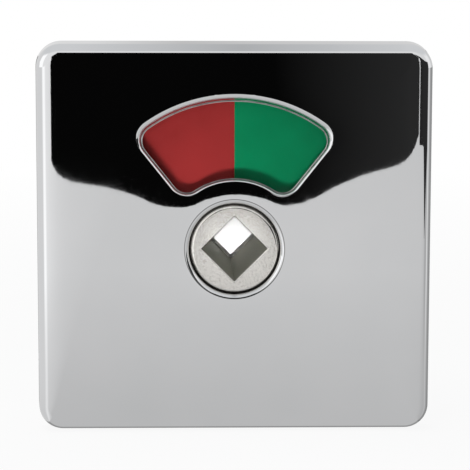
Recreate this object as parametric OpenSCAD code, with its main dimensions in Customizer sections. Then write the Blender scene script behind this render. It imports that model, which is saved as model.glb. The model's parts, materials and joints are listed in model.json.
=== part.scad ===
// Toilet indicator bolt: an outside cover with a red and green window, a release hub through the door,
// and an inside case with a rack-driven bolt and a thumb turn.
// +Z is up, -Y faces out of the cubicle and +X is the way the bolt is thrown.
// The origin is where the spindle axis meets the outer door face.

/* [Cover plate] */
// Width of the outside cover at the door
plate_w = 70; // [66:1:90]
// Height of the outside cover at the door
plate_h = 69; // [68:1:90]
// Height of the cover's centre above the spindle axis
plate_rise = 1.8; // [0:0.1:4]
// Depth of the cover from the door to its front
cover_depth = 6; // [5.6:0.1:9]
// Thickness of the pressed cover sheet
sheet_t = 0.8; // [0.5:0.1:1]
// Corner radius of the cover
corner_r = 4.6; // [3:0.1:8]
// Radius of the cover's front edge
edge_r = 1.9; // [1.2:0.1:2.5]
// Draft of the cover's walls in degrees
wall_draft = 5; // [0:0.5:6]

/* [Indicator window] */
// Radius of the window's upper edge about the spindle
window_top_r = 26.4; // [24:0.1:28]
// Radius of the window's lower edge about the spindle
window_low_r = 12.2; // [11.8:0.1:15]
// Half angle of the window's sides
window_half_a = 38.5; // [30:0.5:40]
// Distance of the window's sides outside the radial lines
window_side = 1.7; // [0.5:0.1:2.5]
// Corner radius of the window
window_corner_r = 3; // [2:0.1:4]
// Thickness of the lens flange
lens_t = 1.2; // [0.8:0.1:1.6]
// How far the lens flange reaches behind the window's edge
lens_flange = 2.2; // [1.5:0.1:2.4]
// How far the lens pad stands up inside the window lip
lens_pad = 0.7; // [0.3:0.1:1]

/* [Release hub] */
// Diameter of the hub's face
hub_face_d = 15; // [14.6:0.1:16]
// Diameter of the hub's flange behind the cover
hub_flange_d = 18.6; // [17.6:0.1:19]
// Diameter of the hub's tube through the door
hub_tube_d = 14; // [13.6:0.1:14.4]
// Width across the flats of the key socket
socket_w = 8.25; // [7:0.05:8.4]
// How far the hub's face lies behind the cover's front
hub_recess = 0.8; // [0.3:0.1:1]
// Half angle that the spindle turns each way from the middle
turn_half_a = 45; // [40:1:48]

/* [Door and fixings] */
// Thickness of the door between the two halves
door_t = 20; // [13:0.5:30]
// Distance between the two through fixings
fix_spacing = 42; // [40:0.5:42.5]
// Diameter of the fixing screws
screw_d = 4; // [3:0.5:4]
// Outside diameter of the threaded sleeves
sleeve_d = 7; // [6:0.5:8]
// Thickness of the base plate and of the back plate
base_t = 1.5; // [1.2:0.1:2]

/* [Bolt drive] */
// Module of the pinion and rack
gear_module = 1; // [0.9:0.05:1.05]
// Number of teeth on the pinion
pinion_teeth = 20; // [19:1:21]
// Width of the pinion
pinion_w = 5; // [4:0.5:6]
// Height of the bolt from the rack's tips to its top
bolt_h = 12; // [10:0.5:13]
// Thickness of the bolt
bolt_t = 8; // [7:0.5:9]

/* [Inside case] */
// Width of the inside case
case_w = 56; // [56:1:70]
// Height of the inside case
case_h = 56; // [54:1:70]
// Depth of the inside case from the door
case_depth = 14; // [13.5:0.5:20]
// Wall of the inside case
case_wall = 1.6; // [1.2:0.1:2]
// Corner radius of the inside case
case_corner_r = 5; // [3:0.5:8]
// Front edge radius of the inside case
case_edge_r = 2.4; // [2:0.1:3]

/* [Thumb turn] */
// Diameter of the turn's round base
turn_base_d = 28; // [26:0.5:32]
// Thickness of the turn's round base
turn_base_t = 4.2; // [4:0.1:6]
// Length of the turn's wing
wing_l = 34; // [30:1:44]
// Thickness of the turn's wing
wing_w = 9; // [7:0.5:12]
// Height of the turn's wing above its base
wing_h = 14; // [10:0.5:18]
// Width across the flats of the turn's shank
shank_w = 8; // [6.8:0.05:8.1]

/* [Hidden] */
$fn = 64;
hull_fn = 32;
eps = 0.01;
over = 1;
edge_step_a = 15;
min_edge_r = 0.3;
min_corner_r = 1;

// Clearances
run_gap = 0.05;
fit_gap = 0.1;
slide_gap = 0.2;
cover_gap = 0.4;
disc_gap = 0.45;
door_gap = 0.1;

// Outside half, from the base plate forward
base_front_y = -base_t;
bush_flange_t = 0.45;
disc_t = 0.6;
film_t = 0.15;
disc_back_y = base_front_y - bush_flange_t - run_gap;
disc_front_y = disc_back_y - disc_t;
film_front_y = disc_front_y - film_t;
lens_back_y = film_front_y - disc_gap;
lip_back_y = lens_back_y - lens_t;
front_y = -cover_depth;
base_w = plate_w - 2 * (sheet_t + cover_gap);
base_h = plate_h - 2 * (sheet_t + cover_gap);
base_corner_r = corner_r - sheet_t;

// Cover and lens details
hub_hole_d = hub_face_d + 2 * slide_gap;
lip_r = 0.9;
lip_step_a = 22.5;
ear_a = 20;
ear_d = 5.2;
ear_reach = 0.4 * ear_d;
ear_r = window_top_r + lens_flange + ear_reach;
stud_d = 2;
clip_d = 4.6;
clip_t = 0.4;
stud_end_y = lens_back_y + 1.5 * clip_t;
grub_d = 2;
grub_l = 3.6;
grub_key = 1;
grub_key_depth = 1.2;
grub_set_in = 0.4;
lug_h = 3.2;
lug_w = 8;
lug_t = 1.5;
lug_set_in = 0.5;
lug_z = -20;
lug_x = base_w / 2 - lug_set_in;
grub_y = base_front_y - lug_h / 2;

// Indicator
disc_overlap = 1.6;
disc_r = window_top_r + disc_overlap;
disc_half_a = 95;
film_set_in = 0.4;
film_hub_gap = 0.3;
film_r = disc_r - film_set_in;
film_low_r = hub_flange_d / 2 + film_hub_gap;
boss_wall = 1.2;
boss_flat_step = 0.15;
boss_d = hub_tube_d + 2 * boss_wall;
boss_flats = hub_tube_d + 2 * boss_flat_step;
stop_d = 2;
stop_set_in = 6;
stop_r = disc_r - stop_set_in;
stop_a = disc_half_a + turn_half_a + asin((stop_d / 2 + slide_gap) / stop_r);

// Bushes
bush_wall = 1.2;
bush_flange = 0.6;
bush_bore_d = hub_tube_d + 2 * run_gap;
bush_d = bush_bore_d + 2 * bush_wall;
bush_flange_d = bush_d + 2 * bush_flange;
bush_hole_d = bush_d + 2 * run_gap;

// Fixings
sleeve_neck_step = 0.3;
sleeve_head_step = 1;
sleeve_neck_d = sleeve_d + 2 * sleeve_neck_step;
sleeve_head_d = sleeve_d + 2 * sleeve_head_step;
sleeve_head_t = 0.8;
sleeve_end_gap = 2.5;
sleeve_end_y = door_t - sleeve_end_gap;
// The bore stops short of the sleeve's middle, which stays solid
sleeve_bore_depth = 0.48 * sleeve_end_y;
screw_end_gap = 0.9;
screw_bite = sleeve_bore_depth - screw_end_gap;
// Screw heads in proportion to the screw
screw_head_d = 2 * screw_d;
screw_head_t = 0.55 * screw_d;
screw_hole_d = screw_d + 2 * slide_gap;
cross_w = 0.25 * screw_d;
cross_l = 1.1 * screw_d;
cross_depth = 0.35 * screw_d;

// Hub
hub_face_y = front_y + hub_recess;
hub_bevel = 0.35;

// Pinion and rack
pitch_r = gear_module * pinion_teeth / 2;
pressure_a = 20;
gear_base_r = pitch_r * cos(pressure_a);
// Tooth heights in proportion to the module
tooth_tip = 0.9 * gear_module;
tooth_root = 1.2 * gear_module;
tooth_pitch = PI * gear_module;
backlash = 0.15;
flank_steps = 5;
tooth_half_a = (tooth_pitch / 2 - backlash) / (2 * pitch_r) * 180 / PI;
throw_half = pitch_r * turn_half_a * PI / 180;
seat_step = 0.5;
seat_flat = 0.6;
seat_d = hub_tube_d - 2 * seat_step;
seat_w = seat_d - 2 * seat_flat;

// Inside half, from the door backward
back_y = door_t;
back_front_y = door_t + base_t;
pinion_y = back_front_y + bush_flange_t + 3 * run_gap;
pinion_end_y = pinion_y + pinion_w;
hub_end = 0.6;
hub_end_y = pinion_end_y + hub_end;
bolt_y = back_front_y + slide_gap;
bolt_end_y = bolt_y + bolt_t;
bolt_low_z = pitch_r - tooth_tip;
bolt_top_z = bolt_low_z + bolt_h;
bolt_mid_z = (bolt_low_z + bolt_top_z) / 2;
case_front_y = door_t + case_depth;
case_inner_y = case_front_y - case_wall;
case_draft = 0.5;
bolt_tip_set_in = 0.3;
bolt_tail_gap = 0.4;
bolt_nose_r = 1.5;
back_gap = 0.3;
bolt_tip_x = case_w / 2 - bolt_tip_set_in + throw_half;
bolt_tail_x = -(case_w / 2 - case_wall - bolt_tail_gap - throw_half);
back_w = case_w - 2 * (case_wall + back_gap);
back_h = case_h - 2 * (case_wall + back_gap);
back_corner_r = case_corner_r - case_wall;
screw_boss_wall = 2.2;
screw_boss_d = screw_hole_d + 2 * screw_boss_wall;

// Guides
rail_h = 4.4;
rail_t = 6;
rail_end_gap = 4;
rail_l = back_w - 2 * rail_end_gap;
rail_z = bolt_top_z + fit_gap;
rivet_d = 2.2;
rivet_head_d = rail_h - 2 * slide_gap;
rivet_head_t = 1;
rivet_end = 4;
rivet_spacing = rail_l - 2 * rivet_end;
liner_t = 1;
liner_gap = 0.15;
liner_flange = 1;
liner_flange_t = 0.6;
spring_t = 0.5;
spring_w = 7;
spring_half_l = 14;
spring_end_gap = 3;
spring_x = bolt_tail_x + throw_half + spring_end_gap + spring_half_l;
spring_steps = 16;
spring_rise = case_inner_y - bolt_end_y - run_gap - spring_t;
spring_bend_r = (spring_half_l * spring_half_l + spring_rise * spring_rise) / (2 * spring_rise);
spring_rivet_d = 1.8;
spring_rivet_head_d = 3.4;
spring_rivet_head_t = 0.6;
spring_rivet_cover = 0.6;
spring_rivet_bite = case_wall - spring_rivet_cover;

// Turn
turn_flange_t = 0.6;
turn_y = case_front_y + turn_flange_t + fit_gap;
turn_base_y = turn_y + turn_base_t;
wing_y = turn_base_y + wing_h;
neck_d = 15;
neck_gap = 0.5;
neck_lip = 0.4;
groove_depth = 1;
neck_end_y = hub_end_y + neck_gap;
turn_clip_t = 0.7;
turn_clip_y = neck_end_y + neck_lip;
groove_d = neck_d - 2 * groove_depth;
turn_clip_mouth = 0.7 * groove_d;
turn_bush_y = turn_clip_y + turn_clip_t + fit_gap;
turn_bush_bore_d = neck_d + 2 * run_gap;
turn_bush_d = turn_bush_bore_d + 2 * bush_wall;
turn_flange_set_in = 1.5;
turn_flange_d = turn_base_d - 2 * turn_flange_set_in;
turn_clip_d = turn_bush_d - 2 * fit_gap;
turn_boss_d = turn_bush_d + 2 * case_wall;
turn_boss_y = max(turn_bush_y, bolt_end_y + 2 * slide_gap);
shank_seat = 7;
shank_end_y = turn_base_y + shank_seat;
shank_depth = 27;
shank_y = hub_face_y + shank_depth;
shank_hole_w = shank_w + fit_gap;
shank_bevel = 0.8;
turn_grub_d = 4;
turn_grub_key = 2;
turn_grub_a = 135;
wing_a = 45;
wing_top_r = 4;
wing_end_r = wing_w / 2;
turn_base_edge = 1.2;

// Points are [x, z] and angles run clockwise from straight up, as seen from outside.
// arc_start leaves out the last point, which the next stretch begins with.
function polar(r, a) = [r * sin(a), r * cos(a)];
function arc_start(c, r, a0, a1, n) = [for (i = [0:n - 1]) c + polar(r, a0 + (a1 - a0) * i / n)];
function arc(c, r, a0, a1, n) = concat(arc_start(c, r, a0, a1, n), [c + polar(r, a1)]);
function flip(p) = [-p[0], p[1]];

// The window's outline, grown outward by a distance
top_steps = 32;
corner_steps = 10;
low_steps = 20;
corner_side = window_corner_r - window_side;
window_up_a = window_half_a - asin(corner_side / (window_top_r - window_corner_r));
window_low_a = window_half_a - asin(corner_side / (window_low_r + window_corner_r));
window_up_c = polar(window_top_r - window_corner_r, window_up_a);
window_low_c = polar(window_low_r + window_corner_r, window_low_a);
function window_outline(grow) = let (r = window_corner_r + grow) concat(
    arc_start([0, 0], window_top_r + grow, -window_up_a, window_up_a, top_steps),
    arc(window_up_c, r, window_up_a, 90 + window_half_a, corner_steps),
    arc_start(window_low_c, r, 90 + window_half_a, 180 + window_low_a, corner_steps),
    arc_start([0, 0], window_low_r - grow, window_low_a, -window_low_a, low_steps),
    arc(flip(window_low_c), r, -180 - window_low_a, -90 - window_half_a, corner_steps),
    arc_start(flip(window_up_c), r, -90 - window_half_a, -window_up_a, corner_steps)
);

// Involute gear teeth
function involute(a) = tan(a) * 180 / PI - a;
function flank_a(r) = tooth_half_a + involute(pressure_a) - involute(acos(gear_base_r / r));
function flank_r(i) = gear_base_r + (pitch_r + tooth_tip - gear_base_r) * i / flank_steps;
function tooth(c) = concat(
    [polar(pitch_r - tooth_root, c - flank_a(gear_base_r))],
    [for (i = [0:flank_steps]) polar(flank_r(i), c - flank_a(flank_r(i)))],
    [for (i = [flank_steps:-1:0]) polar(flank_r(i), c + flank_a(flank_r(i)))],
    [polar(pitch_r - tooth_root, c + flank_a(gear_base_r))]
);
rack_half = throw_half + sqrt(pow(pitch_r + tooth_tip, 2) - pow(bolt_low_z, 2));
rack_count = ceil(rack_half / tooth_pitch);

// A flat shape drawn as [x, z], made solid from y0 to y1
module slab(y0, y1) {
    translate([0, y1, 0]) rotate([90, 0, 0]) linear_extrude(y1 - y0) children();
}

module rod(d, y0, y1, at = [0, 0]) {
    translate([at[0], y1, at[1]]) rotate([90, 0, 0]) cylinder(d = d, h = y1 - y0);
}

module cone(d0, d1, y0, y1, at = [0, 0]) {
    translate([at[0], y0, at[1]]) rotate([-90, 0, 0]) cylinder(d1 = d0, d2 = d1, h = y1 - y0);
}

module rounded_rect(w, h, r) {
    square([w - 2 * r, h], center = true);
    square([w, h - 2 * r], center = true);
    for (x = [-1, 1], z = [-1, 1]) translate([x * (w / 2 - r), z * (h / 2 - r)]) circle(r);
}

// A diamond: a square standing on its corner
module diamond(w) {
    rotate(45) square(w, center = true);
}

module sector(r, a0, a1) {
    intersection() {
        circle(r);
        polygon(concat([[0, 0]], arc([0, 0], 2 * r, a0, a1, 12)));
    }
}

// A drafted block with a rounded front edge, which stands on y = 0 and reaches to y = -depth
module tray(w, h, depth, r, edge, draft) {
    wall_inset = (depth - edge) * tan(draft);
    hull() {
        slab(-eps, 0) rounded_rect(w, h, r, $fn = hull_fn);
        for (a = [0:edge_step_a:90]) {
            inset = wall_inset + edge * (1 - cos(a));
            y = -(depth - edge) - edge * sin(a);
            slab(y, y + eps)
                rounded_rect(w - 2 * inset, h - 2 * inset, max(r - inset, min_corner_r), $fn = hull_fn);
        }
    }
}

module shell(w, h, depth, wall, r, edge, draft) {
    difference() {
        tray(w, h, depth, r, edge, draft);
        translate([0, eps, 0])
            tray(w - 2 * wall, h - 2 * wall, depth - wall + eps, r - wall,
                max(edge - wall, min_edge_r), draft);
    }
}

module cross_recess(at, y) {
    for (a = [0, 90])
        translate([at[0], y, at[1]]) rotate([0, a, 0])
            cube([cross_l, 2 * cross_depth, cross_w], center = true);
}

// Outside half

// The window's opening: straight through the lip, and flared at the front by the rolled edge
module window_opening() {
    rings = concat(
        [[0, over]],
        [for (a = [0:lip_step_a:90]) [lip_r * (1 - cos(a)), front_y - eps + lip_r * (1 - sin(a))]],
        [[lip_r, front_y - over]]
    );
    last = len(rings) - 1;
    n = len(window_outline(0));
    polyhedron(
        points = [for (ring = rings, p = window_outline(ring[0])) [p[0], ring[1], p[1]]],
        faces = concat(
            [[for (i = [n - 1:-1:0]) i]],
            [for (k = [0:last - 1], i = [0:n - 1]) let (j = (i + 1) % n)
                [k * n + i, k * n + j, (k + 1) * n + j, (k + 1) * n + i]],
            [[for (i = [0:n - 1]) last * n + i]]
        )
    );
}

// The hub's opening: a straight hole with the same rolled edge
module hub_opening() {
    roll_r = hub_hole_d / 2 + lip_r;
    roll_depth = -front_y - lip_r + eps;
    rod(hub_hole_d, front_y - over, over);
    rotate([90, 0, 0]) rotate_extrude() difference() {
        translate([hub_hole_d / 2 - eps, roll_depth]) square([lip_r + eps, lip_r + over]);
        translate([roll_r, roll_depth]) circle(lip_r);
    }
}

module outer_cover() {
    color("silver") difference() {
        union() {
            translate([0, 0, plate_rise])
                shell(plate_w, plate_h, cover_depth, sheet_t, corner_r, edge_r, wall_draft);
            slab(front_y + eps, lip_back_y) polygon(window_outline(sheet_t));
            rod(hub_hole_d + 2 * sheet_t, front_y + eps, lip_back_y);
            for (x = [-1, 1])
                rod(stud_d, front_y + sheet_t / 2, stud_end_y, polar(ear_r, x * ear_a));
        }
        window_opening();
        hub_opening();
        for (x = [-1, 1])
            translate([x * plate_w / 2, grub_y, lug_z]) rotate([0, 90, 0])
                cylinder(d = grub_d + 2 * slide_gap, h = plate_w / 4, center = true);
    }
}

module window_lens() {
    color([0.9, 0.95, 0.95, 0.4]) difference() {
        union() {
            slab(lip_back_y, lens_back_y) {
                polygon(window_outline(lens_flange));
                for (x = [-1, 1]) translate(polar(ear_r, x * ear_a)) circle(d = ear_d);
            }
            slab(lip_back_y - lens_pad, lip_back_y) polygon(window_outline(-fit_gap));
        }
        for (x = [-1, 1])
            rod(stud_d + 2 * fit_gap, lip_back_y - over, lens_back_y + over, polar(ear_r, x * ear_a));
    }
}

module lens_clips() {
    color("dimgray") for (x = [-1, 1]) difference() {
        rod(clip_d, lens_back_y, lens_back_y + clip_t, polar(ear_r, x * ear_a));
        rod(stud_d + 2 * run_gap, lens_back_y - over, lens_back_y + over, polar(ear_r, x * ear_a));
    }
}

module base_plate() {
    color("lightgray") difference() {
        union() {
            translate([0, 0, plate_rise])
                slab(base_front_y, 0) rounded_rect(base_w, base_h, base_corner_r);
            for (x = [-1, 1])
                translate([x * (lug_x - lug_t / 2), base_front_y - lug_h / 2 + eps, lug_z])
                    cube([lug_t, lug_h + 2 * eps, lug_w], center = true);
        }
        rod(bush_hole_d, base_front_y - over, over);
        for (x = [-1, 1]) {
            rod(sleeve_neck_d + 2 * fit_gap, base_front_y - over, over, [x * fix_spacing / 2, 0]);
            rod(sleeve_head_d + 2 * fit_gap, base_front_y - over, base_front_y + sleeve_head_t,
                [x * fix_spacing / 2, 0]);
            rod(stop_d + 2 * run_gap, base_front_y - over, over, polar(stop_r, x * stop_a));
            translate([x * lug_x, grub_y, lug_z]) rotate([0, 90, 0])
                cylinder(d = grub_d + 2 * run_gap, h = 4 * lug_t, center = true);
        }
    }
}

module cover_grub_screws() {
    grub_x = plate_w / 2 + grub_y * tan(wall_draft) - grub_set_in;
    color("dimgray") for (x = [0, 1]) mirror([x, 0, 0])
        translate([grub_x, grub_y, lug_z]) rotate([0, -90, 0]) difference() {
            cylinder(d = grub_d, h = grub_l);
            translate([0, 0, -eps]) cylinder(d = grub_key, h = grub_key_depth, $fn = 6);
        }
}

module stop_pins() {
    color("gray") for (x = [-1, 1])
        rod(stop_d, disc_front_y - slide_gap, -door_gap, polar(stop_r, x * stop_a));
}

// A flanged nylon bush: its sleeve runs from y0 to y1 and its flange lies beyond the flange end
module flanged_bush(y0, y1, flange_y0) {
    difference() {
        union() {
            rod(bush_d, y0, y1);
            rod(bush_flange_d, flange_y0, flange_y0 + bush_flange_t);
        }
        rod(bush_bore_d, y0 - over, y1 + over);
    }
}

module outer_bush() {
    color("white") flanged_bush(base_front_y - bush_flange_t, -door_gap, base_front_y - bush_flange_t);
}

module fixing_sleeves() {
    color("darkgray") for (x = [-1, 1]) difference() {
        union() {
            rod(sleeve_d, -eps, sleeve_end_y, [x * fix_spacing / 2, 0]);
            rod(sleeve_neck_d, base_front_y, 0, [x * fix_spacing / 2, 0]);
            rod(sleeve_head_d, base_front_y, base_front_y + sleeve_head_t, [x * fix_spacing / 2, 0]);
        }
        rod(screw_d + 2 * run_gap, sleeve_end_y - sleeve_bore_depth, sleeve_end_y + over,
            [x * fix_spacing / 2, 0]);
    }
}

module release_hub() {
    flange_y = lip_back_y + slide_gap;
    color([0.75, 0.73, 0.7]) difference() {
        union() {
            rod(hub_face_d, hub_face_y + hub_bevel, flange_y + eps);
            cone(hub_face_d - 2 * hub_bevel, hub_face_d, hub_face_y, hub_face_y + hub_bevel);
            rod(hub_flange_d, flange_y, disc_front_y);
            slab(disc_front_y - eps, disc_back_y) intersection() {
                circle(d = boss_d);
                square([boss_d, boss_flats], center = true);
            }
            rod(hub_tube_d, disc_back_y - eps, pinion_y);
            slab(pinion_y - eps, hub_end_y) intersection() {
                circle(d = seat_d);
                diamond(seat_w);
            }
        }
        slab(front_y - over, hub_end_y + over) diamond(socket_w);
    }
}

module indicator_disc() {
    color("gainsboro") slab(disc_front_y, disc_back_y) difference() {
        union() {
            sector(disc_r, -disc_half_a, disc_half_a);
            circle(film_low_r);
        }
        intersection() {
            circle(d = boss_d + 2 * run_gap);
            square([boss_d + over, boss_flats + 2 * run_gap], center = true);
        }
    }
}

module film(a0, a1) {
    slab(film_front_y, disc_front_y) difference() {
        sector(film_r, a0, a1);
        circle(film_low_r);
    }
}

module red_film() {
    color("firebrick") film(-disc_half_a, 0);
}

module green_film() {
    color("seagreen") film(0, disc_half_a);
}

// Inside half

module back_plate() {
    color("lightgray") difference() {
        translate([0, 0, plate_rise])
            slab(back_y, back_front_y) rounded_rect(back_w, back_h, back_corner_r);
        rod(bush_hole_d, back_y - over, back_front_y + over);
        for (x = [-1, 1]) {
            rod(screw_hole_d, back_y - over, back_front_y + over, [x * fix_spacing / 2, 0]);
            rod(rivet_d + 2 * run_gap, back_y - over, back_front_y + over,
                [x * rivet_spacing / 2, rail_z + rail_h / 2]);
        }
    }
}

module inner_bush() {
    color("white") flanged_bush(back_y + door_gap, back_front_y + bush_flange_t, back_front_y);
}

module drive_pinion() {
    color("goldenrod") slab(pinion_y, pinion_end_y) difference() {
        polygon([for (i = [0:pinion_teeth - 1]) each tooth((i + 0.5) * 360 / pinion_teeth)]);
        intersection() {
            circle(d = seat_d + 2 * run_gap);
            diamond(seat_w + 2 * run_gap);
        }
    }
}

// The bolt's bar, with the rack's tooth spaces cut in its lower edge
module bolt() {
    space_half = (tooth_pitch / 2 + backlash) / 2;
    low_half = space_half + (tooth_tip + over) * tan(pressure_a);
    root_half = space_half - tooth_root * tan(pressure_a);
    color("silver") slab(bolt_y, bolt_end_y) difference() {
        union() {
            translate([bolt_tail_x, bolt_low_z]) square([bolt_tip_x - bolt_nose_r - bolt_tail_x, bolt_h]);
            translate([bolt_tip_x - 2 * bolt_nose_r, bolt_low_z + bolt_nose_r])
                square([2 * bolt_nose_r, bolt_h - 2 * bolt_nose_r]);
            for (z = [bolt_low_z + bolt_nose_r, bolt_top_z - bolt_nose_r])
                translate([bolt_tip_x - bolt_nose_r, z]) circle(bolt_nose_r);
        }
        for (k = [-rack_count:rack_count - 1])
            translate([(k + 0.5) * tooth_pitch, pitch_r])
                polygon([
                    [-low_half, -tooth_tip - over], [-root_half, tooth_root],
                    [root_half, tooth_root], [low_half, -tooth_tip - over]
                ]);
    }
}

module guide_rail() {
    color("ivory") difference() {
        translate([-rail_l / 2, back_front_y, rail_z]) cube([rail_l, rail_t, rail_h]);
        for (x = [-1, 1])
            rod(rivet_d + 2 * run_gap, back_front_y - over, back_front_y + rail_t + over,
                [x * rivet_spacing / 2, rail_z + rail_h / 2]);
    }
}

module rail_rivets() {
    head_y = back_front_y + rail_t;
    color("gray") for (x = [-1, 1]) {
        rod(rivet_d, back_y + door_gap, head_y + eps, [x * rivet_spacing / 2, rail_z + rail_h / 2]);
        cone(rivet_head_d, rivet_d, head_y, head_y + rivet_head_t,
            [x * rivet_spacing / 2, rail_z + rail_h / 2]);
    }
}

// A strip bowed between the case's inner face and the bolt's face
function bow(x, lift) = case_inner_y - lift - spring_bend_r
    + sqrt(spring_bend_r * spring_bend_r - x * x);
module friction_spring() {
    step = spring_half_l / spring_steps;
    color("steelblue") difference() {
        translate([spring_x, 0, bolt_mid_z - spring_w / 2]) linear_extrude(spring_w) polygon(concat(
            [for (i = [-spring_steps:spring_steps]) [i * step, bow(i * step, 0)]],
            [for (i = [spring_steps:-1:-spring_steps]) [i * step, bow(i * step, spring_t)]]
        ));
        rod(spring_rivet_d + 2 * run_gap, bolt_end_y, case_inner_y + over, [spring_x, bolt_mid_z]);
    }
}

module spring_rivet() {
    head_y = case_inner_y - spring_t - run_gap;
    color("gray") {
        rod(spring_rivet_d, head_y - eps, case_inner_y + spring_rivet_bite, [spring_x, bolt_mid_z]);
        rod(spring_rivet_head_d, head_y - spring_rivet_head_t, head_y, [spring_x, bolt_mid_z]);
    }
}

// The rectangle that the bolt's section needs, grown by a margin, made solid from x0 to x1
module bolt_section(grow, x0, x1) {
    translate([x0, bolt_y - grow, bolt_low_z - grow])
        cube([x1 - x0, bolt_t + 2 * grow, bolt_h + 2 * grow]);
}

module inner_case() {
    color("silver") difference() {
        union() {
            translate([0, door_t, plate_rise]) mirror([0, 1, 0])
                shell(case_w, case_h, case_depth, case_wall, case_corner_r, case_edge_r, case_draft);
            for (x = [-1, 1]) rod(screw_boss_d, back_front_y, case_inner_y + eps, [x * fix_spacing / 2, 0]);
            rod(turn_boss_d, turn_boss_y, case_inner_y + eps);
        }
        rod(turn_bush_d + 2 * run_gap, turn_bush_y - over, case_front_y + over);
        for (x = [-1, 1]) {
            rod(screw_hole_d, back_front_y - over, case_front_y + over, [x * fix_spacing / 2, 0]);
            cone(screw_d + 2 * fit_gap, screw_head_d + 2 * fit_gap, case_front_y - screw_head_t,
                case_front_y + eps, [x * fix_spacing / 2, 0]);
        }
        rod(spring_rivet_d + 2 * run_gap, case_inner_y - eps, case_inner_y + spring_rivet_bite + run_gap,
            [spring_x, bolt_mid_z]);
        bolt_section(liner_gap + liner_t + run_gap, case_w / 2 - 2 * case_wall, case_w / 2 + over);
    }
}

module nose_bush() {
    color("white") difference() {
        union() {
            bolt_section(liner_gap + liner_t, case_w / 2 - case_wall, case_w / 2 + liner_flange_t);
            bolt_section(liner_gap + liner_t + liner_flange / 2, case_w / 2, case_w / 2 + liner_flange_t);
        }
        bolt_section(liner_gap, case_w / 2 - 2 * case_wall, case_w / 2 + over);
    }
}

module case_screws() {
    color("silver") for (x = [-1, 1]) {
        at = [x * fix_spacing / 2, 0];
        difference() {
            union() {
                rod(screw_d, sleeve_end_y - screw_bite, case_front_y - screw_head_t + eps, at);
                cone(screw_d, screw_head_d, case_front_y - screw_head_t, case_front_y, at);
            }
            cross_recess(at, case_front_y);
        }
    }
}

// Thumb turn

module turn_bush() {
    color("white") difference() {
        union() {
            rod(turn_bush_d, turn_bush_y, case_front_y + eps);
            rod(turn_flange_d, case_front_y, case_front_y + turn_flange_t);
        }
        rod(turn_bush_bore_d, turn_bush_y - over, case_front_y + 2 * over);
    }
}

module turn_knob() {
    color("silver") difference() {
        union() {
            rod(neck_d, turn_clip_y + turn_clip_t + run_gap, turn_y + eps);
            rod(groove_d, turn_clip_y - run_gap, turn_clip_y + turn_clip_t + 2 * run_gap);
            rod(neck_d, neck_end_y, turn_clip_y - run_gap);
            rod(turn_base_d, turn_y, turn_base_y - turn_base_edge);
            cone(turn_base_d, turn_base_d - 2 * turn_base_edge, turn_base_y - turn_base_edge, turn_base_y);
            rotate([0, wing_a, 0]) intersection() {
                slab(turn_base_y - eps, wing_y) {
                    square([wing_w, wing_l - wing_w], center = true);
                    for (z = [-1, 1]) translate([0, z * (wing_l / 2 - wing_end_r)]) circle(wing_end_r);
                }
                translate([-wing_w, 0, 0]) rotate([0, 90, 0]) linear_extrude(2 * wing_w) {
                    translate([-wing_l / 2 - over, 0]) square([wing_l + 2 * over, wing_y - wing_top_r]);
                    translate([-wing_l / 2 + wing_top_r, 0]) square([wing_l - 2 * wing_top_r, wing_y]);
                    for (z = [-1, 1])
                        translate([z * (wing_l / 2 - wing_top_r), wing_y - wing_top_r]) circle(wing_top_r);
                }
            }
        }
        slab(neck_end_y - over, shank_end_y + fit_gap) diamond(shank_hole_w);
        translate([0, (turn_y + turn_base_y) / 2, 0]) rotate([0, turn_grub_a, 0])
            cylinder(d = turn_grub_d + 2 * run_gap, h = turn_base_d);
    }
}

// A spring clip, open on one side so that it can be pushed into the groove
module turn_clip() {
    color("dimgray") slab(turn_clip_y, turn_clip_y + turn_clip_t) difference() {
        circle(d = turn_clip_d);
        circle(d = groove_d + 2 * run_gap);
        translate([0, -turn_clip_d / 2]) square([turn_clip_mouth, turn_clip_d], center = true);
    }
}

module turn_shank() {
    color("silver") intersection() {
        slab(shank_y, shank_end_y) diamond(shank_w);
        rod(shank_w * sqrt(2) - shank_bevel, shank_y, shank_end_y);
    }
}

module turn_grub_screw() {
    grub_len = turn_base_d / 2 - grub_set_in - shank_w / 2 - run_gap;
    color("dimgray") translate([0, (turn_y + turn_base_y) / 2, 0]) rotate([0, turn_grub_a, 0])
        translate([0, 0, shank_w / 2 + run_gap]) difference() {
            cylinder(d = turn_grub_d, h = grub_len);
            translate([0, 0, grub_len - turn_grub_key])
                cylinder(d = turn_grub_key, h = 2 * turn_grub_key, $fn = 6);
        }
}

outer_cover();
window_lens();
lens_clips();
base_plate();
cover_grub_screws();
stop_pins();
outer_bush();
fixing_sleeves();
release_hub();
indicator_disc();
red_film();
green_film();
back_plate();
inner_bush();
drive_pinion();
bolt();
guide_rail();
rail_rivets();
friction_spring();
spring_rivet();
inner_case();
nose_bush();
case_screws();
turn_bush();
turn_knob();
turn_clip();
turn_shank();
turn_grub_screw();
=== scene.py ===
import json
import math

import bmesh
import bpy
import numpy as np
from mathutils import Matrix, Vector
from mathutils.geometry import delaunay_2d_cdt

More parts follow.
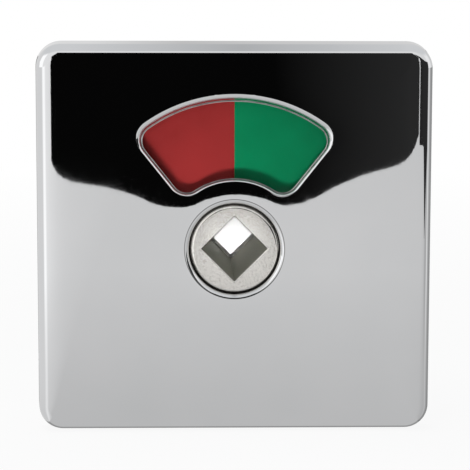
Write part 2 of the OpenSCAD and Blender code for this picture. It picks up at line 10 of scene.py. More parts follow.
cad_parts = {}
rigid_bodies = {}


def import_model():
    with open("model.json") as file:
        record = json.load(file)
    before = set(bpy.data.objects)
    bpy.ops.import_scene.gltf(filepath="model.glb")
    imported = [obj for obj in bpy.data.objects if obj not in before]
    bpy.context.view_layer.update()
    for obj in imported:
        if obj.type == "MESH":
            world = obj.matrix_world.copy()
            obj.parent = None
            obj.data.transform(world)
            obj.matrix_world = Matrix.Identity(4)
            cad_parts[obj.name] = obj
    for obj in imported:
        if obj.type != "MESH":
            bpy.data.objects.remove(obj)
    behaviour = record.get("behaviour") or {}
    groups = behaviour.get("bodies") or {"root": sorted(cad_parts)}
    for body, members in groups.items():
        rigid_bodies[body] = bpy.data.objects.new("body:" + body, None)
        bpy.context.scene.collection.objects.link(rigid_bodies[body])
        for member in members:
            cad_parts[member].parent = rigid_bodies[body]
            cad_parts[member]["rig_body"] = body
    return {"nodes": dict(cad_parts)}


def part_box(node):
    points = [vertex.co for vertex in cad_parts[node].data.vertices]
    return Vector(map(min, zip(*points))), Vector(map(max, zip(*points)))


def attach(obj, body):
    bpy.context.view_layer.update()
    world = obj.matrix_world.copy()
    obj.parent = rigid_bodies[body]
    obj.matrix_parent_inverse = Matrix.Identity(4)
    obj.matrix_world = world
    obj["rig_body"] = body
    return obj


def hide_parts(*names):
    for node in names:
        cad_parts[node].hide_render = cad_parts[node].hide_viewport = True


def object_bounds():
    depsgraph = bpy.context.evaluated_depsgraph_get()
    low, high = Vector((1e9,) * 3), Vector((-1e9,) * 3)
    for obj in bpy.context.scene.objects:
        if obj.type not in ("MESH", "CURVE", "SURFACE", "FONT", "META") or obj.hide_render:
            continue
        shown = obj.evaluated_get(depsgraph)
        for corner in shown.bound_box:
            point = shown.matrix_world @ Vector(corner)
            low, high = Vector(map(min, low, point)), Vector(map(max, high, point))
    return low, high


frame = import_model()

cad_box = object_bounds()
nodes = frame["nodes"]
scene = bpy.context.scene

# Outer cover. A square of steel sheet, deep drawn, with the window and the hub hole pressed through it, so
# that their edges roll inwards and the sheet sinks a little round them. It is polished and chromed, with a
# thin ring of painted shade in the crease round the hub, and two studs on its back carry the lens.
mm = 0.001
quarter_turn = math.pi / 2
cover_low, cover_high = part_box("outer_cover")
cover_half = np.array([cover_high.x - cover_low.x, cover_high.z - cover_low.z]) / 2 / mm
cover_rise = (cover_high.z + cover_low.z) / 2 / mm
cover_depth = -cover_low.y / mm
sheet = 0.8
cover_corner = 4.6
cover_edge = 1.9
wall_draft = math.radians(5)
wall_inset = (cover_depth - cover_edge) * math.tan(wall_draft)
flat_inset = wall_inset + cover_edge
crown_drop = 0.06
crown_reach = 1.2
lip_back = -4.4
window_top = 26.4
window_low = 12.2
window_side = 1.7
window_corner = 3.0
window_half_angle = math.radians(38.5)
window_roll = 0.3
window_roll_top = 0.9
window_sink = 0.04
window_sink_reach = 3.0
hub_hole = 8.05
hub_roll = 0.8
hub_edge = hub_hole + hub_roll
hub_sink = 0.025
hub_sink_reach = 2.0
least_corner = 1.0
corner_steps = 16
cover_side_steps = 42
window_side_steps = 16
window_top_steps = 40
window_low_steps = 20
hub_steps = 128


def arc_points(centre, radius, start, end, steps, keep_end=False):
    """Points on an arc, with angles clockwise from straight up."""
    turn = start + (end - start) * np.arange(steps + keep_end) / steps
    return np.stack([centre[0] + radius * np.sin(turn), centre[1] + radius * np.cos(turn)], 1)


def between(first, last, steps):
    """Points on the straight run between two points, without its ends."""
    return first + (last - first) * np.linspace(0, 1, steps)[1:-1, None]


def window_ring():
    """The window's outline as x and z, clockwise from its top."""
    side = window_corner - window_side
    high_r = window_top - window_corner
    low_r = window_low + window_corner
    high_angle = window_half_angle - math.asin(side / high_r)
    low_angle = window_half_angle - math.asin(side / low_r)
    side_angle = quarter_turn + window_half_angle
    high = (high_r * math.sin(high_angle), high_r * math.cos(high_angle))
    low = (low_r * math.sin(low_angle), low_r * math.cos(low_angle))
    top_arc = arc_points((0, 0), window_top, 0, high_angle, window_top_steps)
    high_corner = arc_points(high, window_corner, high_angle, side_angle, corner_steps, True)
    low_corner = arc_points(low, window_corner, side_angle, math.pi + low_angle, corner_steps)
    low_arc = arc_points((0, 0), window_low, low_angle, 0, window_low_steps, True)
    side_run = between(high_corner[-1], low_corner[0], window_side_steps)
    right = np.concatenate([top_arc, high_corner, side_run, low_corner, low_arc])
    return np.concatenate([right, right[-2:0:-1] * (-1, 1)])


def plate_ring(inset):
    """The cover's outline as x and z, set in by a distance, always with the same number of points."""
    corner_r = max(cover_corner - inset, least_corner)
    middle = cover_half - inset - corner_r
    corners = []
    for count, side in enumerate(((1, 1), (1, -1), (-1, -1), (-1, 1))):
        start = count * quarter_turn
        end = start + quarter_turn
        corners.append(arc_points(middle * side, corner_r, start, end, corner_steps, True))
    outline = []
    for corner, following in zip(corners, corners[1:] + corners[:1]):
        outline += [corner, between(corner[-1], following[0], cover_side_steps)]
    return np.concatenate(outline) + (0, cover_rise)


def outward(ring):
    """Unit normals of a closed clockwise outline, pointing away from its inside."""
    along = np.roll(ring, -1, 0) - np.roll(ring, 1, 0)
    along /= np.linalg.norm(along, axis=1)[:, None]
    return np.stack([-along[:, 1], along[:, 0]], 1)


def grown(outline, distance):
    """A closed outline moved outwards by a distance, or by one for each of its points."""
    return outline + outward(outline) * np.broadcast_to(distance, len(outline))[:, None]


def distance_to(outline, points):
    """Distance of each point to a closed outline."""
    run = np.roll(outline, -1, 0) - outline
    to_point = points[:, None] - outline[None]
    share = np.clip((to_point * run).sum(2) / (run * run).sum(1), 0, 1)
    return np.linalg.norm(to_point - share[..., None] * run, axis=2).min(1)


def inside(outline, points):
    """True for each point inside a closed outline."""
    x = points[:, :1]
    z = points[:, 1:]
    following = np.roll(outline, -1, 0)
    crosses = (outline[:, 1] > z) != (following[:, 1] > z)
    rise = following[:, 1] - outline[:, 1]
    share = (z - outline[:, 1]) / np.where(rise == 0, 1, rise)
    left_of = x < outline[:, 0] + share * (following[:, 0] - outline[:, 0])
    return (crosses & left_of).sum(1) % 2 == 1


window = window_ring()
hub = arc_points((0, 0), hub_hole, 0, 2 * math.pi, hub_steps)
roll_grows_from = -0.9
roll_grows_over = 1.2
upward = np.clip((outward(window)[:, 1] - roll_grows_from) / roll_grows_over, 0, 1)
window_rolls = window_roll + (window_roll_top - window_roll) * upward
window_edge = grown(window, window_rolls)


def front_height(points):
    """The front's y at x and z: flat, falling off at the cover's edge and sinking round its openings."""
    corner_r = cover_corner - flat_inset
    past_middle = np.abs(points - (0, cover_rise)) - (cover_half - flat_inset - corner_r)
    past_corner = np.linalg.norm(np.maximum(past_middle, 0), axis=1) + np.minimum(past_middle.max(1), 0)
    from_edge = np.maximum(corner_r - past_corner, 0)
    from_hub = np.maximum(np.linalg.norm(points, axis=1) - hub_edge, 0)
    drop = crown_drop * np.exp(-from_edge / crown_reach)
    drop += window_sink * np.exp(-distance_to(window_edge, points) / window_sink_reach)
    drop += hub_sink * np.exp(-from_hub / hub_sink_reach)
    return drop - cover_depth


def front_normals(points):
    """Unit normals of the front at x and z."""
    step = 1e-3
    slope_x = (front_height(points + (step, 0)) - front_height(points - (step, 0))) / (2 * step)
    slope_z = (front_height(points + (0, step)) - front_height(points - (0, step))) / (2 * step)
    normals = np.stack([slope_x, -np.ones(len(points)), slope_z], 1)
    return normals / np.linalg.norm(normals, axis=1)[:, None]


def rolled_normals(outline, turn, side):
    """Normals turned from an outline's side, outwards or inwards, towards the front."""
    across = outward(outline) * side * math.cos(turn)
    return np.stack([across[:, 0], np.full(len(outline), -math.sin(turn)), across[:, 1]], 1)


class Skin:
    """Points with their normals, and the faces between them, in millimetres."""

    def __init__(self):
        self.places = []
        self.normals = []
        self.faces = []

    def add(self, outline, y, normals):
        """Adds points at x and z with a y and a normal for each, and gives back their numbers."""
        start = len(self.places)
        heights = np.broadcast_to(y, len(outline))
        self.places += [(point[0], height, point[1]) for point, height in zip(outline, heights)]
        self.normals += [tuple(normal) for normal in normals]
        return list(range(start, len(self.places)))

    def bridge(self, rings):
        """Joins rings of the same length, each nearer the middle than the one before."""
        for outer, inner in zip(rings, rings[1:]):
            for i in range(len(outer)):
                j = (i + 1) % len(outer)
                self.faces.append((outer[i], inner[i], inner[j], outer[j]))

    def thicken(self, thickness, free_edges, flat_edge):
        """Adds a back behind the skin and closes the sheet along its free edges."""
        places = np.array(self.places)
        normals = np.array(self.normals)
        back = places - normals * thickness
        back[flat_edge, 1] = places[flat_edge, 1]
        count = len(places)
        faces = self.faces + [tuple(count + i for i in face[::-1]) for face in self.faces]
        for ring in free_edges:
            faces += [(i, count + i, count + j, j) for i, j in zip(ring, ring[1:] + ring[:1])]
        return np.concatenate([places, back]), np.concatenate([normals, -normals]), faces


skin = Skin()
rim = skin.add(plate_ring(0), 0, rolled_normals(plate_ring(0), wall_draft, 1))
rings = [rim]
crown_slope = math.atan(crown_drop / crown_reach)
crown_insets = (0.25, 0.6, 1.1, 1.8, 2.8, 4.0)
edge_steps = 14
roll_steps = 12
for turn in np.linspace(wall_draft, quarter_turn - crown_slope, edge_steps):
    outline = plate_ring(wall_inset + cover_edge * (1 - math.cos(turn)))
    y = cover_edge - cover_depth - (cover_edge - crown_drop) * math.sin(turn)
    rings.append(skin.add(outline, y, rolled_normals(outline, turn, 1)))
for crown_inset in crown_insets:
    outline = plate_ring(flat_inset + crown_inset)
    rings.append(skin.add(outline, front_height(outline), front_normals(outline)))
skin.bridge(rings)

flat_loops = [rings[-1]]
back_edges = []
for opening, rolls in ((window, window_rolls), (hub, np.full(len(hub), hub_roll))):
    edge = grown(opening, rolls)
    roll_top = front_height(edge)
    rings = [skin.add(edge, roll_top, front_normals(edge))]
    flat_loops.append(rings[0])
    for turn in np.linspace(quarter_turn, 0, roll_steps)[1:]:
        outline = grown(opening, rolls * (1 - math.cos(turn)))
        y = roll_top + rolls * (1 - math.sin(turn))
        rings.append(skin.add(outline, y, rolled_normals(outline, turn, -1)))
    rings.append(skin.add(opening, lip_back, rolled_normals(opening, 0, -1)))
    skin.bridge(rings)
    back_edges.append(rings[-1])

grid_step = 0.9
grid_shift = 0.013
grid_rise = 0.017
grid_margin = 0.75
ring_gaps = (0.35, 0.8)
ring_margin = 0.3
ring_room = 0.4
run = np.arange(-cover_half.max(), cover_half.max(), grid_step)
grid = np.stack(np.meshgrid(run, run), -1).reshape(-1, 2) + (grid_shift, cover_rise + grid_rise)
near_rings = [grown(window_edge, gap) for gap in ring_gaps]
near_rings += [grown(hub, hub_edge - hub_hole + gap) for gap in ring_gaps]
flat_outlines = [np.array(skin.places)[loop][:, [0, 2]] for loop in flat_loops]


def on_the_flat(points, margin):
    """True for each point on the flat front, with a margin to its three edges."""
    edge, window_side_edge, hub_side_edge = flat_outlines
    free = inside(edge, points) & ~inside(window_side_edge, points) & ~inside(hub_side_edge, points)
    if margin:
        for outline in flat_outlines:
            free &= distance_to(outline, points) > margin
    return free


ring_points = np.concatenate(near_rings)
ring_points = ring_points[on_the_flat(ring_points, ring_margin)]
grid = grid[on_the_flat(grid, grid_margin)]
for outline in near_rings:
    grid = grid[distance_to(outline, grid) > ring_room]
inner_points = np.concatenate([ring_points, grid])
inner_numbers = skin.add(inner_points, front_height(inner_points), front_normals(inner_points))
flat_points = np.concatenate([*flat_outlines, inner_points])
flat_numbers = sum(flat_loops, []) + inner_numbers
edges = []
for loop in flat_loops:
    start = len(edges)
    edges += [(start + i, start + (i + 1) % len(loop)) for i in range(len(loop))]
same_point = 1e-7
cut = delaunay_2d_cdt([Vector(point) for point in flat_points], edges, [], 0, same_point)
cut_faces = cut[2]
given_points = cut[3]
triangles = np.array([[given_points[i][0] for i in face] for face in cut_faces])
triangles = triangles[on_the_flat(flat_points[triangles].mean(1), 0)]
for a, b, c in triangles:
    to_b = flat_points[b] - flat_points[a]
    to_c = flat_points[c] - flat_points[a]
    face = (a, b, c) if to_b[0] * to_c[1] > to_b[1] * to_c[0] else (a, c, b)
    skin.faces.append(tuple(flat_numbers[i] for i in face))
places, normals, faces = skin.thicken(sheet, [rim[::-1], *back_edges], rim)


def as_mesh(shape, name):
    """A new mesh of a finished shape, which is freed."""
    mesh = bpy.data.meshes.new(name)
    shape.to_mesh(mesh)
    shape.free()
    return mesh


def rod(radius, start, end, sides=48):
    """A closed straight rod between two points in millimetres, as a mesh."""
    start = Vector(start)
    end = Vector(end)
    shape = bmesh.new()
    bmesh.ops.create_cone(
        shape, cap_ends=True, segments=sides, radius1=radius, radius2=radius, depth=(end - start).length
    )
    turn = (end - start).to_track_quat("Z", "Y").to_matrix().to_4x4()
    place = Matrix.Scale(mm, 4) @ Matrix.Translation((start + end) / 2) @ turn
    bmesh.ops.transform(shape, matrix=place, verts=shape.verts)
    return as_mesh(shape, "rod")


def joined(*meshes):
    """One mesh of several."""
    shape = bmesh.new()
    for mesh in meshes:
        shape.from_mesh(mesh)
    return as_mesh(shape, "joined")


def placed(name, data):
    """A new object in the scene."""
    thing = bpy.data.objects.new(name, data)
    scene.collection.objects.link(thing)
    return thing


def worked_out(blank):
    """The mesh that an object's modifiers make of it. The object is removed."""
    graph = bpy.context.evaluated_depsgraph_get()
    mesh = bpy.data.meshes.new_from_object(blank.evaluated_get(graph))
    bpy.data.objects.remove(blank)
    return mesh


def cut_from(mesh, cutter):
    """A mesh with another one cut out of it."""
    blank = placed("blank", mesh)
    helper = placed("cutter", cutter)
    cutting = blank.modifiers.new("cut", "BOOLEAN")
    cutting.object = helper
    cutting.solver = "EXACT"
    result = worked_out(blank)
    bpy.data.objects.remove(helper)
    return result


def keep_normals(mesh, places, normals):
    """Gives the corners of a mesh the known normals of their places, where its faces look the same way."""
    digits = 4
    same_way = 0.8
    known = {}
    for place, normal in zip(np.round(places, digits), normals):
        known.setdefault(tuple(place), []).append(normal)
    corner_normals = []
    for face in mesh.polygons:
        flat = np.array(face.normal)
        for i in face.vertices:
            place = np.round(np.array(mesh.vertices[i].co) / mm, digits)
            fitting = [normal for normal in known.get(tuple(place), []) if normal @ flat > same_way]
            corner_normals.append(fitting[0] if fitting else flat)
    mesh.polygons.foreach_set("use_smooth", [True] * len(mesh.polygons))
    mesh.normals_split_custom_set(corner_normals)


def new_piece(node, mesh, material):
    """Shows a mesh in place of a CAD node, on the node's own body."""
    mesh.materials.clear()
    mesh.materials.append(material)
    mesh.polygons.foreach_set("material_index", [0] * len(mesh.polygons))
    piece = placed(node + "_dressed", mesh)
    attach(piece, nodes[node]["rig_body"])
    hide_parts(node)
    return piece


def node_adder(tree):
    """A function that adds nodes to a tree, with their inputs linked or set."""

    def add(kind, inputs=None, **settings):
        node = tree.nodes.new(kind)
        for key, value in settings.items():
            setattr(node, key, value)
        for key, value in (inputs or {}).items():
            if isinstance(value, bpy.types.NodeSocket):
                tree.links.new(value, node.inputs[key])
            else:
                node.inputs[key].default_value = value
        return node.outputs

    return add


def parts_of(material):
    """A material's node tree, the inputs of its Principled shader and a function that adds nodes to it."""
    tree = material.node_tree
    return tree, tree.nodes["Principled BSDF"].inputs, node_adder(tree)


def finish_nodes(name):
    """A new material and its parts."""
    material = bpy.data.materials.new(name)
    material.use_nodes = True
    return material, *parts_of(material)


def figure(add, operation, first, second=0.0):
    """One step of arithmetic in a node tree."""
    return add("ShaderNodeMath", {0: first, 1: second}, operation=operation)["Value"]


def blend(add, share, first, second, kind="RGBA"):
    """Two colours, or two numbers, mixed by a share of the second."""
    return add("ShaderNodeMix", {"Factor": share, "A": first, "B": second}, data_type=kind)["Result"]


def mapped(add, value, start, end, low=0.0, high=1.0):
    """A number carried over from one range to another, and held at its ends."""
    ranges = {"From Min": start, "From Max": end, "To Min": low, "To Max": high}
    return add("ShaderNodeMapRange", {"Value": value, **ranges})["Result"]


def grained_finish(name, pale, deep, gloss, scale, stretch=(1, 1, 1), grain=0.1, height=0.02, metallic=1.0):
    """A finish whose colour, gloss and surface vary with a fine grain, or one drawn out along an axis."""
    material, tree, shader, add = finish_nodes(name)
    shader["Metallic"].default_value = metallic
    where = add("ShaderNodeTexCoord")["Object"]
    along = add("ShaderNodeMapping", {"Vector": where, "Scale": stretch})["Vector"]
    fine = add("ShaderNodeTexNoise", {"Vector": along, "Scale": scale, "Detail": 4, "Roughness": 0.6})["Fac"]
    broad = add("ShaderNodeTexNoise", {"Vector": along, "Scale": scale / 12, "Detail": 2})["Fac"]
    both = figure(add, "MULTIPLY", fine, broad)
    colour = blend(add, broad, (*deep, 1), (*pale, 1))
    rough = mapped(add, both, 0.1, 0.4, *gloss)
    bump = add("ShaderNodeBump", {"Height": fine, "Strength": grain, "Distance": height * mm})["Normal"]
    tree.links.new(colour, shader["Base Color"])
    tree.links.new(rough, shader["Roughness"])
    tree.links.new(bump, shader["Normal"])
    return material


def across_hub(add):
    """Places on a piece as they are drawn, and their distance from the hub's axis."""
    where = add("ShaderNodeSeparateXYZ", {"Vector": add("ShaderNodeTexCoord")["Object"]})
    in_plan = add("ShaderNodeCombineXYZ", {"X": where["X"], "Z": where["Z"]})["Vector"]
    return where, add("ShaderNodeVectorMath", {0: in_plan}, operation="LENGTH")["Value"]


def pair_sizes(low, high):
    """Radius, x, z, front and back of the right-hand one of two like units, from the box of both."""
    radius = (high.z - low.z) / 2 / mm
    return radius, high.x / mm - radius, (high.z + low.z) / 2 / mm, low.y / mm, high.y / mm


chrome = grained_finish("chrome", (0.84, 0.84, 0.85), (0.78, 0.79, 0.80), (0.01, 0.03), 900, grain=0.02)
crease_half = 0.05
crease_fade = 0.06
crease_shade_share = 0.6
crease_shade_tone = (0.06, 0.06, 0.05, 1)
cover_chrome = chrome.copy()
cover_chrome.name = "cover_chrome"
tree, shader, add = parts_of(cover_chrome)
where, from_centre = across_hub(add)
# Painted shade: the colour is darkened in a thin ring in the crease round the hub.
from_crease = figure(add, "SUBTRACT", from_centre, (hub_edge - crease_half) * mm)
off_crease = figure(add, "ABSOLUTE", from_crease)
crease_end = crease_half + crease_fade
crease_shade = mapped(add, off_crease, crease_half * mm, crease_end * mm, crease_shade_share, 0.0)
plated = shader["Base Color"].links[0].from_socket
tree.links.new(blend(add, crease_shade, plated, crease_shade_tone), shader["Base Color"])
grub_low, grub_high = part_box("cover_grub_screws")
grub_radius = (grub_high.z - grub_low.z) / 2 / mm
grub_end = grub_high.x / mm
grub_y = (grub_high.y + grub_low.y) / 2 / mm
grub_z = (grub_high.z + grub_low.z) / 2 / mm
grub_gap = 0.2
clip_radius, clip_x, clip_z, clip_front, clip_back = pair_sizes(*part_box("lens_clips"))
stud_radius = 1.0
stud_end = 0.2
cover_sheet = bpy.data.meshes.new("cover_sheet")
cover_sheet.from_pydata([tuple(place) for place in places * mm], [], faces)
wall_drill = rod(grub_radius + grub_gap, (-2 * grub_end, grub_y, grub_z), (2 * grub_end, grub_y, grub_z))
studs = [
    rod(stud_radius, (x, sheet / 2 - cover_depth, clip_z), (x, clip_back + stud_end, clip_z))
    for x in (-clip_x, clip_x)
]
cover_mesh = joined(cut_from(cover_sheet, wall_drill), *studs)
keep_normals(cover_mesh, places, normals)
new_piece("outer_cover", cover_mesh, cover_chrome)


# Window lens. A clear acrylic moulding with a flange behind the cover and a raised pad that fills the
# window's lip and rests on its lower side. Two ears go over the studs on the cover's back.
merge_gap = 0.001
flat_angle = math.radians(0.3)


def round_edges(piece, bevel, steps=2, sharp=35):
    """Rounds a piece's sharp edges and keeps its flat faces flat."""
    mesh = piece.data
    mesh.polygons.foreach_set("use_smooth", [True] * len(mesh.polygons))
    mesh.set_sharp_from_angle(angle=math.radians(sharp))
    if bevel:
        rounding = piece.modifiers.new("round_edges", "BEVEL")
        rounding.width = bevel * mm
        rounding.segments = steps
        rounding.limit_method = "ANGLE"
        rounding.angle_limit = math.radians(sharp)
    flattening = piece.modifiers.new("flat_faces", "WEIGHTED_NORMAL")
    flattening.keep_sharp = True
    return piece


def dressed(node, material, bevel, steps=2):
    """A merged copy of a CAD node with its sharp edges rounded, shown in the node's place."""
    shape = bmesh.new()
    shape.from_mesh(nodes[node].data)
    bmesh.ops.remove_doubles(shape, verts=shape.verts, dist=merge_gap * mm)
    bmesh.ops.dissolve_limit(shape, angle_limit=flat_angle, verts=shape.verts, edges=shape.edges)
    mesh = as_mesh(shape, node + "_dressed")
    return round_edges(new_piece(node, mesh, material), bevel, steps)


clear_acrylic, tree, shader, add = finish_nodes("clear_acrylic")
shader["Base Color"].default_value = (0.97, 0.985, 0.98, 1)
shader["Transmission Weight"].default_value = 1.0
shader["IOR"].default_value = 1.49
where = add("ShaderNodeTexCoord")["Object"]
wear = add("ShaderNodeTexNoise", {"Vector": where, "Scale": 500, "Detail": 5})["Fac"]
haze = mapped(add, wear, 0.0, 1.0, high=0.06)
ripple = add("ShaderNodeBump", {"Height": wear, "Strength": 0.05, "Distance": 0.01 * mm})["Normal"]
tree.links.new(haze, shader["Roughness"])
tree.links.new(ripple, shader["Normal"])
lamp_ray = add("ShaderNodeLightPath")["Is Shadow Ray"]
see_through = add("ShaderNodeBsdfTransparent")["BSDF"]
body = tree.nodes["Principled BSDF"].outputs["BSDF"]
glass = add("ShaderNodeMixShader", {0: lamp_ray, 1: body, 2: see_through})["Shader"]
tree.links.new(glass, tree.nodes["Material Output"].inputs["Surface"])
lens = dressed("window_lens", clear_acrylic, bevel=0.12, steps=3)
pad_gap = 0.15
pad_drop = 0.12
pad_reach = 4 * pad_gap
pad_margin = 0.05
pad_base = lip_back + pad_margin
window_normals = outward(window)
for vert in lens.data.vertices:
    from_window = np.linalg.norm(window - np.array([vert.co.x, vert.co.z]) / mm, axis=1)
    if vert.co.y < pad_base * mm and from_window.min() < pad_reach:
        outwards = window_normals[from_window.argmin()]
        vert.co.x -= outwards[0] * pad_gap * mm
        vert.co.z -= (outwards[1] * pad_gap + pad_drop) * mm
# The rounded edge of the lens pad gets a pale matt finish: a painted highlight for the light its edge
# catches.
painted_edge_highlight = grained_finish(
    "painted_edge_highlight", (0.95, 0.93, 0.93), (0.30, 0.27, 0.27), (0.1, 0.3), 9000, metallic=0.0
)
lens.data.materials.append(painted_edge_highlight)
lens.modifiers["round_edges"].material = 1


# Lens clips. Two push-on washers, stamped from steel strip and zinc plated. They are pressed over the studs
# on the cover's back and hold the lens by its ears.
def turned(profile, steps=48):
    """A turned mesh about the Y axis, from radii and places along it. The ends lie on the axis or meet."""
    shape = bmesh.new()
    points = [shape.verts.new((radius * mm, y * mm, 0)) for radius, y in profile]
    lines = [shape.edges.new(ends) for ends in zip(points, points[1:])]
    bmesh.ops.spin(shape, geom=points + lines, axis=(0, 1, 0), cent=(0, 0, 0), angle=2 * math.pi, steps=steps)
    bmesh.ops.remove_doubles(shape, verts=shape.verts, dist=merge_gap * mm)
    bmesh.ops.recalc_face_normals(shape, faces=shape.faces)
    return as_mesh(shape, "turned")


def row_tree():
    """A Geometry Nodes tree that repeats a unit along a line, each copy turned one step further."""
    tree = bpy.data.node_groups.new("row_of_units", "GeometryNodeTree")
    for name, kind in (
        ("Unit", "Geometry"), ("Count", "Int"), ("First", "Vector"), ("Step", "Vector"), ("Turn", "Vector"),
        ("Finish", "Material"),
    ):
        tree.interface.new_socket(name, in_out="INPUT", socket_type="NodeSocket" + kind)
    tree.interface.new_socket("Row", in_out="OUTPUT", socket_type="NodeSocketGeometry")
    add = node_adder(tree)
    given = add("NodeGroupInput")
    line = add(
        "GeometryNodeMeshLine",
        {"Count": given["Count"], "Start Location": given["First"], "Offset": given["Step"]},
    )["Mesh"]
    number = add("GeometryNodeInputIndex")["Index"]
    turn = add("ShaderNodeVectorMath", {0: given["Turn"], "Scale": number}, operation="SCALE")["Vector"]
    copies = add(
        "GeometryNodeInstanceOnPoints", {"Points": line, "Instance": given["Unit"], "Rotation": turn}
    )["Instances"]
    solid = add("GeometryNodeRealizeInstances", {"Geometry": copies})["Geometry"]
    finished = add("GeometryNodeSetMaterial", {"Geometry": solid, "Material": given["Finish"]})["Geometry"]
    add("NodeGroupOutput", {"Row": finished})
    return tree


units_in_a_row = row_tree()


def row_of(node, unit, first, material, bevel, turn=(0, 0, 0)):
    """Shows a unit mesh at a place in millimetres and again across the middle, in place of a CAD node."""
    sizes = {
        "Count": 2,
        "First": [value * mm for value in first],
        "Step": (-2 * first[0] * mm, 0.0, 0.0),
        "Turn": turn,
        "Finish": material,
    }
    blank = placed(node + "_unit", unit)
    repeat = blank.modifiers.new("row", "NODES")
    repeat.node_group = units_in_a_row
    for socket in units_in_a_row.interface.items_tree:
        if socket.name in sizes:
            repeat[socket.identifier] = sizes[socket.name]
    return round_edges(new_piece(node, worked_out(blank), material), bevel)


zinc = grained_finish(
    "zinc_plate", (0.70, 0.71, 0.72), (0.58, 0.60, 0.64), (0.26, 0.4), 1500, grain=0.06
)
clip_gap = 0.05
clip_bore = stud_radius + clip_gap
clip_unit = turned([
    (clip_bore, clip_front), (clip_radius, clip_front), (clip_radius, clip_back),
    (clip_bore, clip_back), (clip_bore, clip_front),
])
row_of("lens_clips", clip_unit, (-clip_x, 0, clip_z), zinc, bevel=0.08)

# Base plate. A blanked plate of zinc plated steel that lies on the door inside the cover, with two lugs
# turned up for the grub screws.
dressed("base_plate", zinc, bevel=0.12)

# Stop pins. Two plain steel pins, cut from rod and zinc plated. They are pressed into the base plate, and the
# indicator disc comes to rest against them at each end of its turn.
pin_radius, pin_x, pin_z, pin_front, pin_back = pair_sizes(*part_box("stop_pins"))
pin_unit = turned([(0, pin_front), (pin_radius, pin_front), (pin_radius, pin_back), (0, pin_back)])
row_of("stop_pins", pin_unit, (-pin_x, 0, pin_z), zinc, bevel=0.15)

# Cover grub screws. Two blackened steel screws with a hexagon socket and a fine thread, which run in the
# lugs and hold the cover's side walls.
black_steel = grained_finish(
    "black_steel", (0.16, 0.16, 0.17), (0.09, 0.09, 0.10), (0.3, 0.5), 2500, grain=0.2
)
key_radius = grub_radius / 2
key_depth = 1.2
grub_length = 3.6
thread_pitch = 0.4
thread_depth = 0.12


def threaded(radius, start, end, pitch, depth):
    """A thread's outline, as a zigzag of radii and places along the axis."""
    count = int((end - start) / pitch)
    steps = [(radius - depth * (i % 2 == 0), start + i * pitch / 2) for i in range(2 * count + 1)]
    return steps + [(radius - depth, end)]


def key_hole(mesh, radius, end, depth):
    """A mesh with a hexagon socket sunk into its end on the Y axis."""
    return cut_from(mesh, rod(radius, (0, end - depth, 0), (0, end + depth, 0), sides=6))


grub_thread = threaded(grub_radius, -grub_length, 0, thread_pitch, thread_depth)
grub_unit = key_hole(turned([(0, -grub_length), *grub_thread, (0, 0)], steps=32), key_radius, 0, key_depth)
grub_unit.transform(Matrix.Rotation(-quarter_turn, 4, "Z"))
row_of(
    "cover_grub_screws", grub_unit, (grub_end, grub_y, grub_z), black_steel, bevel=0,
    turn=(0, 0, math.pi),
)

# Outer bush. A flanged bearing, moulded in natural nylon. It is pressed into the base plate, and the hub
# turns in it.
nylon = grained_finish(
    "nylon", (0.87, 0.86, 0.82), (0.80, 0.79, 0.74), (0.4, 0.55), 1800, grain=0.15, metallic=0.0
)
dressed("outer_bush", nylon, bevel=0.1)

# Fixing sleeves. Two turned steel sleeves with flat heads, riveted into the base plate, which go through
# the door and take the case screws in their drilled ends.
sleeve_head, sleeve_x, sleeve_z, sleeve_front, sleeve_end = pair_sizes(*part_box("fixing_sleeves"))
sleeve_head_depth = 0.8
neck_step = 0.7
sleeve_step = 1.0
sleeve_neck = sleeve_head - neck_step
sleeve_radius = sleeve_head - sleeve_step
sleeve_bore = 2.05
bore_share = 0.48
bore_depth = bore_share * sleeve_end
sleeve_unit = turned([
    (0, sleeve_front), (sleeve_head, sleeve_front), (sleeve_head, sleeve_front + sleeve_head_depth),
    (sleeve_neck, sleeve_front + sleeve_head_depth), (sleeve_neck, 0), (sleeve_radius, 0),
    (sleeve_radius, sleeve_end), (sleeve_bore, sleeve_end), (sleeve_bore, sleeve_end - bore_depth),
    (0, sleeve_end - bore_depth),
])
row_of("fixing_sleeves", sleeve_unit, (-sleeve_x, 0, sleeve_z), zinc, bevel=0.2)

# Release hub. A zinc casting with a square socket for the release key, nickel plated and satin finished,
# with a shoulder that keys and fingers keep bright. The plating hardly reaches into the socket and behind
# the cover, so the hub is dull there, and its colour there is darkened as painted shade. It turns in the two
# bushes.
face_grain = 0.25
hub_nickel = grained_finish(
    "hub_nickel", (0.91, 0.885, 0.845), (0.87, 0.845, 0.805), (0.18, 0.22), 5000,
    grain=face_grain, height=0.01,
)
pit_tone = (0.47, 0.45, 0.41, 1)
socket_shade_tone = (0.71, 0.705, 0.635, 1)
flange_shade_tone = (0.03, 0.028, 0.025, 1)
rubbed_gloss = 0.06
rubbed_grain = 0.02
dull_gloss = 0.6
socket_width = 8.25
socket_half = socket_width / math.sqrt(2)
socket_rim = 0.01
rim_reach = 0.25
hub_face_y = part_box("release_hub")[0].y / mm
hub_radius = 7.75
hub_shoulder = 0.6
shoulder_start = hub_radius - hub_shoulder
flange_start = 1.01 * hub_radius
tree, shader, add = parts_of(hub_nickel)
where, from_centre = across_hub(add)
across = figure(add, "ABSOLUTE", where["X"])
upright = figure(add, "ABSOLUTE", where["Z"])
from_axis = figure(add, "ADD", across, upright)
in_socket = figure(add, "LESS_THAN", from_axis, (socket_half + socket_rim) * mm)
on_rim = figure(add, "LESS_THAN", from_axis, (socket_half + rim_reach) * mm)
on_shoulder = figure(add, "GREATER_THAN", from_centre, shoulder_start * mm)
on_flange = figure(add, "GREATER_THAN", from_centre, flange_start * mm)
thinly = figure(add, "MAXIMUM", in_socket, on_flange)
plated = shader["Base Color"].links[0].from_socket
polish = shader["Roughness"].links[0].from_socket
drawn = add("ShaderNodeTexCoord")["Object"]
